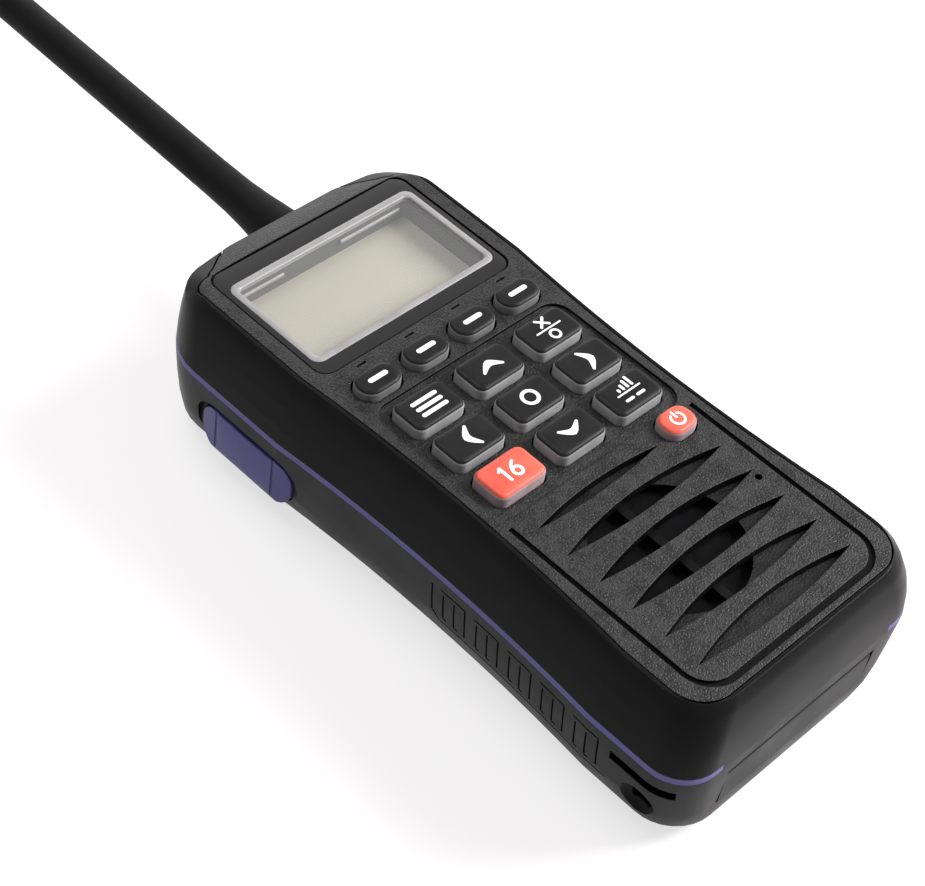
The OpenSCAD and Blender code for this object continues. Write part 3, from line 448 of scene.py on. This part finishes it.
# Each profile is a list of (height, how far in from the key's outline).
key_skirt_profile = [(30.2, -0.8), (31.0, -0.8), (31.02, 0.0), (35.9, 0.02), (36.25, 0.09), (36.42, 0.2)]
key_paint_profile = [(36.56, 0.3), (36.74, 0.45), (36.87, 0.7), (36.95, 1.15), (36.99, 1.8)]
sharpest_corner = 0.35


def key_piece(node, middle, width, length, radius, paint, skirt):
    """A key's skirt and painted top in one skin, with the paint's edge below the crown."""
    rings = stacked([(width - 2 * inset, length - 2 * inset, max(radius - inset, sharpest_corner), height)
                     for height, inset in key_skirt_profile + key_paint_profile], steps=6)
    bands = [0] * (len(key_skirt_profile) - 1) + [1] * len(key_paint_profile)
    cap = lofted("cap_" + node, rings, middle, [skirt, paint], bands)
    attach(cap, node + "_body")
    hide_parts(node)


def strip_edges(strip, closed):
    """The left and right edge of a strip, which is a list of (x, y, half width) along its line."""
    last = len(strip) - 1
    left, right = [], []
    for index, (x, y, half) in enumerate(strip):
        before = strip[last - 1 if closed and index == 0 else max(index - 1, 0)]
        after = strip[1 if closed and index == last else min(index + 1, last)]
        run, rise = after[0] - before[0], after[1] - before[1]
        scale = half / math.hypot(run, rise)
        left.append((x - rise * scale, y + run * scale))
        right.append((x + rise * scale, y - run * scale))
    return left, right


def rounded_end(end, near):
    """Points round the end of a strip that comes to it from near."""
    heading = math.degrees(math.atan2(end[1] - near[1], end[0] - near[0]))
    return [(end[0] + end[2] * math.cos(math.radians(heading + turn)),
             end[1] + end[2] * math.sin(math.radians(heading + turn)))
            for turn in (60, 30, 0, -30, -60)]


mark_low, mark_high, mark_rise = 36.94, 37.03, 0.0027


def printed(name, node, middle, strips):
    """Thin laser marks on a key's top. A strip that ends where it starts is a closed ring. Each
    strip stands a hair above the one before it, so that crossing strips never share a surface."""
    corners, faces = [], []
    for order, strip in enumerate(strips):
        base = len(corners)
        closed = strip[0][:2] == strip[-1][:2]
        left, right = strip_edges(strip, closed)
        if closed:
            loop = left[:-1] + right[:-1]
        else:
            loop = (left + rounded_end(strip[-1], strip[-2])
                    + right[::-1] + rounded_end(strip[0], strip[1]))
        up = len(loop)
        for height in (mark_low, mark_high + mark_rise * order):
            corners += [(x, y, height) for x, y in loop]
        if closed:
            size = up // 2
            for index in range(size):
                after = (index + 1) % size
                outer, inner = base + index, base + size + index
                next_outer, next_inner = base + after, base + size + after
                faces += [(outer, next_outer, next_inner, inner),
                          (outer + up, inner + up, next_inner + up, next_outer + up),
                          (outer, outer + up, next_outer + up, next_outer),
                          (inner, next_inner, next_inner + up, inner + up)]
        else:
            faces.append(tuple(range(base, base + up)))
            faces.append(tuple(range(base + up, base + 2 * up))[::-1])
            faces += [(base + index, base + (index + 1) % up, base + up + (index + 1) % up,
                       base + up + index) for index in range(up)]
    mesh = bpy.data.meshes.new(name)
    mesh.from_pydata([((x + middle[0]) * mm, (y + middle[1]) * mm, z * mm) for x, y, z in corners],
                     [], faces)
    shell = bmesh.new()
    shell.from_mesh(mesh)
    bmesh.ops.recalc_face_normals(shell, faces=shell.faces)
    shell.to_mesh(mesh)
    shell.free()
    mesh.materials.append(mark_white)
    mark = bpy.data.objects.new(name, mesh)
    bpy.context.scene.collection.objects.link(mark)
    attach(mark, node + "_body")


def bar(x0, y0, x1, y1, half):
    """A straight strip from one point to another."""
    return [(x0, y0, half), (x1, y1, half)]


def arc(cx, cy, radius, start, end, half, steps=20):
    """A strip along part of a circle, between two angles in degrees."""
    turns = [math.radians(start + (end - start) * step / steps) for step in range(steps + 1)]
    return [(cx + radius * math.cos(turn), cy + radius * math.sin(turn), half) for turn in turns]


def ring(cx, cy, radius, half):
    """A closed round strip."""
    points = arc(cx, cy, radius, 0, 360, half, steps=32)
    points[-1] = points[0]
    return points


def chevron(degrees):
    """An arrow head with a thick rounded bend, pointing to +Y before it is turned."""
    reach, tip, drop, bend, thick, thinning, steps = 2.3, 1.0, 1.85, 0.07, 0.80, 0.52, 12
    cos, sin = math.cos(math.radians(degrees)), math.sin(math.radians(degrees))
    points = []
    for step in range(steps + 1):
        along = -1 + 2 * step / steps
        x, y = reach * along, tip - drop * math.sqrt(along * along + bend)
        points.append((x * cos - y * sin, x * sin + y * cos, thick - thinning * abs(along)))
    return [points]


marks = {
    "key_call": [
        bar(-2.05, 0.95, -1.4, 1.5, 0.26), bar(-1.35, 1.45, -1.35, -1.6, 0.32),
        ring(1.05, -0.72, 0.92, 0.3),
        [(1.75, 1.5, 0.28), (1.1, 1.1, 0.29), (0.5, 0.4, 0.3), (0.16, -0.5, 0.3)]],
    "key_menu": [
        bar(-2.7, 1.5, 2.7, 1.5, 0.42), bar(-2.7, 0, 2.7, 0, 0.42), bar(-2.7, -1.5, 2.7, -1.5, 0.42)],
    "key_up_arrow": chevron(0),
    "key_clear": [
        bar(-1.0, 0.8, 1.0, 2.7, 0.27), bar(-1.0, 2.7, 1.0, 0.8, 0.27),
        bar(-3.0, 0.0, 3.0, 0.0, 0.17), ring(0, -1.75, 1.0, 0.25)],
    "key_left_arrow": chevron(90),
    "key_ok": [ring(0, 0, 1.55, 0.36)],
    "key_right_arrow": chevron(-90),
    "key_down_arrow": chevron(180),
    "key_volume": [
        bar(-1.6, 0.9, -1.6, 1.2, 0.3), bar(-0.5, 0.9, -0.5, 1.8, 0.3),
        bar(0.6, 0.9, 0.6, 2.4, 0.3), bar(1.7, 0.9, 1.7, 2.8, 0.3),
        bar(-2.8, 0.05, 2.8, 0.05, 0.17),
        bar(-2.2, -1.6, -0.6, -1.6, 0.3), bar(0.6, -1.6, 2.2, -1.6, 0.3)],
    "key_power": [arc(0, -0.1, 1.35, 125, 415, 0.24), bar(0, 0.3, 0, 1.6, 0.24)],
    "soft_key": [bar(-1.75, 0, 1.75, 0, 0.52)],
}

key_pitch, key_row = (15.28, 10.05), 1.2
nine_keys = ["key_call", "key_down_arrow", "key_volume", "key_left_arrow", "key_ok",
             "key_right_arrow", "key_menu", "key_up_arrow", "key_clear"]
for index, node in enumerate(nine_keys):
    middle = ((index % 3 - 1) * key_pitch[0], key_row + (index // 3 - 1) * key_pitch[1])
    red = node == "key_call"
    key_piece(node, middle, 12, 8, 1.8, key_paint_red if red else key_paint,
              key_skirt_red if red else key_skirt)
    printed("mark_" + node, node, middle, marks[node])

soft_pitch, soft_row = 11.9, 21.7
for index in range(4):
    node = "soft_key_%d" % (index + 1)
    middle = ((index - 1.5) * soft_pitch, soft_row)
    key_piece(node, middle, 9.6, 6, 2.9, key_paint, key_skirt_shaded)
    printed("mark_" + node, node, middle, marks["soft_key"])

power_middle = (17.2, -18.9)
key_piece("key_power", power_middle, 7.6, 6, 2.6, key_paint_red, key_skirt_red)
printed("mark_key_power", "key_power", power_middle, marks["key_power"])

# ---- Coloured trim and talk key ----
# A violet-blue strip is clamped in the seam on both sides, and the talk key of the same colour is
# a soft overmoulded button with a gripping land at each end.
trim_violet = finish("trim_violet", (0.085, 0.074, 0.27), (0.115, 0.100, 0.33), (0.40, 0.52),
                     9, 0.4, 0.006)
talk_violet = finish("talk_violet", (0.055, 0.044, 0.21), (0.090, 0.075, 0.29), (0.42, 0.56),
                     5, 0.35, 0.02, edge=0.3)
dressed("seam_trim", "seam_strip", "radio", trim_violet, sharp=40)
dressed("ptt_button", "talk_key", "ptt_body", talk_violet, sharp=40)

# ---- Rear housing, latch and battery pack ----
# The back half of the case, the pack that clips into it and the latch at the foot are moulded in
# the same nylon with a slightly drier skin; grip lines are cut along both sides.
rear_black = finish("rear_black", (0.0030, 0.0028, 0.0030), (0.0052, 0.0050, 0.0052), (0.32, 0.44),
                    11, 0.3, 0.008, edge=0.2, mirror=0.09)
pack_black = finish("pack_black", (0.006, 0.006, 0.0066), (0.010, 0.010, 0.011), (0.45, 0.58),
                    9, 0.28, 0.015, edge=0.2, mirror=0.2)
dressed("rear_housing", "case_rear", "radio", rear_black)
dressed("battery_latch", "latch", "latch_body", rear_black)
dressed("pack_shell", "pack_tub", "pack_body", pack_black)
dressed("pack_lid", "pack_cover", "pack_body", pack_black)

# ---- Antenna ----
# A sprung steel whip inside a moulded rubber sleeve, screwed on at its wide foot. The rubber is
# matt, a little dusty, and drawn in a long taper.
sleeve_rubber = finish("sleeve_rubber", (0.0028, 0.0026, 0.0028), (0.0045, 0.0042, 0.0045),
                       (0.48, 0.62), 8, 0.3, 0.012, mirror=0.08)
dressed("antenna_whip", "antenna_sleeve", "radio", sleeve_rubber, sharp=50)

# ---- Screws in the back ----
# Six steel machine screws in deep wells hold the two halves together. One screw with a plain head
# is made and set at each of the six places.
steel = finish("steel", (0.42, 0.43, 0.44), (0.55, 0.56, 0.57), (0.28, 0.42), 1.5, 0.1, 0.003, metal=1.0)
screw_seat = 13.2
screw_places = [(26.2, 18), (-26.2, 18), (26.2, -46), (-26.2, -46), (18.7, 61), (-18.7, 61)]
screw_sizes = [("Head radius", 2.05), ("Head height", 1.8), ("Shank radius", 1.1), ("Shank length", 11.4)]
spots = bpy.data.meshes.new("screw_spots")
spots.from_pydata([(x * mm, y * mm, screw_seat * mm) for x, y in screw_places], [], [])
screws = bpy.data.objects.new("screw_heads", spots)
bpy.context.scene.collection.objects.link(screws)
tree = bpy.data.node_groups.new("set_screws", "GeometryNodeTree")
tree.interface.new_socket("Geometry", in_out="INPUT", socket_type="NodeSocketGeometry")
for name, value in screw_sizes:
    socket = tree.interface.new_socket(name, in_out="INPUT", socket_type="NodeSocketFloat")
    socket.default_value = value * mm
tree.interface.new_socket("Geometry", in_out="OUTPUT", socket_type="NodeSocketGeometry")
given = tree.nodes.new("NodeGroupInput")
made = tree.nodes.new("NodeGroupOutput")
head = tree.nodes.new("GeometryNodeMeshCone")
head.inputs["Vertices"].default_value = 32
shank = tree.nodes.new("GeometryNodeMeshCylinder")
shank.inputs["Vertices"].default_value = 20
half_length = tree.nodes.new("ShaderNodeMath")
half_length.operation = "MULTIPLY"
half_length.inputs[1].default_value = 0.5
raised = tree.nodes.new("ShaderNodeCombineXYZ")
shank_moved = tree.nodes.new("GeometryNodeTransform")
joined = tree.nodes.new("GeometryNodeJoinGeometry")
placed = tree.nodes.new("GeometryNodeInstanceOnPoints")
real = tree.nodes.new("GeometryNodeRealizeInstances")
painted = tree.nodes.new("GeometryNodeSetMaterial")
painted.inputs["Material"].default_value = steel
for source, output, target, socket in [
        (given, "Head radius", head, "Radius Top"), (given, "Head radius", head, "Radius Bottom"),
        (given, "Head height", head, "Depth"), (given, "Shank radius", shank, "Radius"),
        (given, "Shank length", shank, "Depth"), (given, "Shank length", half_length, 0),
        (half_length, 0, raised, "Z"), (raised, "Vector", shank_moved, "Translation"),
        (shank, "Mesh", shank_moved, "Geometry"), (head, "Mesh", joined, "Geometry"),
        (shank_moved, "Geometry", joined, "Geometry"), (given, "Geometry", placed, "Points"),
        (joined, "Geometry", placed, "Instance"), (placed, "Instances", real, "Geometry"),
        (real, "Geometry", painted, "Geometry"), (painted, "Geometry", made, "Geometry")]:
    tree.links.new(source.outputs[output], target.inputs[socket])
setter = screws.modifiers.new("set_screws", "NODES")
setter.node_group = tree
plain = bpy.data.meshes.new_from_object(screws.evaluated_get(bpy.context.evaluated_depsgraph_get()))
screws.modifiers.remove(setter)
screws.data = plain
screws.data.name = "screw_heads"
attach(screws, "radio")
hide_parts("case_screws")

# ---- What is inside ----
# Boards, speaker, contacts and cells are bought-in parts. They hardly show, through the slots and
# in the open battery bay, but each has the finish of the real thing.
board_green = finish("board_green", (0.012, 0.10, 0.045), (0.018, 0.15, 0.065), (0.30, 0.42),
                     4, 0.5, 0.01)
brass = finish("brass", (0.55, 0.38, 0.13), (0.66, 0.47, 0.18), (0.25, 0.38), 2, 0.2, 0.003, metal=1.0)
gold = finish("gold", (0.70, 0.50, 0.18), (0.82, 0.60, 0.24), (0.20, 0.32), 1.5, 0.15, 0.002, metal=1.0)
alloy = finish("alloy", (0.48, 0.49, 0.50), (0.58, 0.59, 0.60), (0.40, 0.55), 3, 0.3, 0.01, metal=1.0)
soft_black = finish("soft_black", (0.008, 0.008, 0.009), (0.013, 0.013, 0.014), (0.6, 0.75),
                    3, 0.25, 0.02, mirror=0.15)
cone_black = finish("cone_black", (0.0025, 0.0025, 0.003), (0.005, 0.005, 0.006), (0.5, 0.7),
                    2, 0.2, 0.02, mirror=0.06)
dark_steel = finish("dark_steel", (0.03, 0.03, 0.032), (0.05, 0.05, 0.053), (0.45, 0.6),
                    2, 0.2, 0.01, mirror=0.2)
mat_grey = finish("mat_grey", (0.07, 0.07, 0.075), (0.09, 0.09, 0.095), (0.5, 0.6), 4, 0.3, 0.01)
milky = finish("milky", (0.62, 0.62, 0.60), (0.72, 0.72, 0.70), (0.35, 0.45), 5, 0.4, 0.004)
ceramic = finish("ceramic", (0.55, 0.50, 0.38), (0.66, 0.60, 0.48), (0.45, 0.6), 2, 0.3, 0.01)
foil = finish("foil", (0.40, 0.42, 0.44), (0.52, 0.54, 0.56), (0.25, 0.4), 6, 1.5, 0.05, metal=1.0)
inside = {
    board_green: ["key_board", "main_board", "ptt_board", "pack_board"],
    brass: ["antenna_stud", "antenna_socket", "clip_inserts"],
    gold: ["pack_contacts", "charge_contacts", "radio_contacts"],
    alloy: ["chassis"],
    steel: ["shield_can", "microphone", "latch_pin", "board_screws"],
    dark_steel: ["speaker_frame"],
    soft_black: ["case_gasket", "mic_boot", "pack_seal", "ptt_switch"],
    cone_black: ["speaker_cone", "speaker_seal"],
    mat_grey: ["keypad_mat"],
    milky: ["lcd_backlight"],
    ceramic: ["gps_antenna"],
    foil: ["pack_cells"],
}
for material, names in inside.items():
    for name in names:
        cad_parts[name].data.materials.clear()
        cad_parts[name].data.materials.append(material)
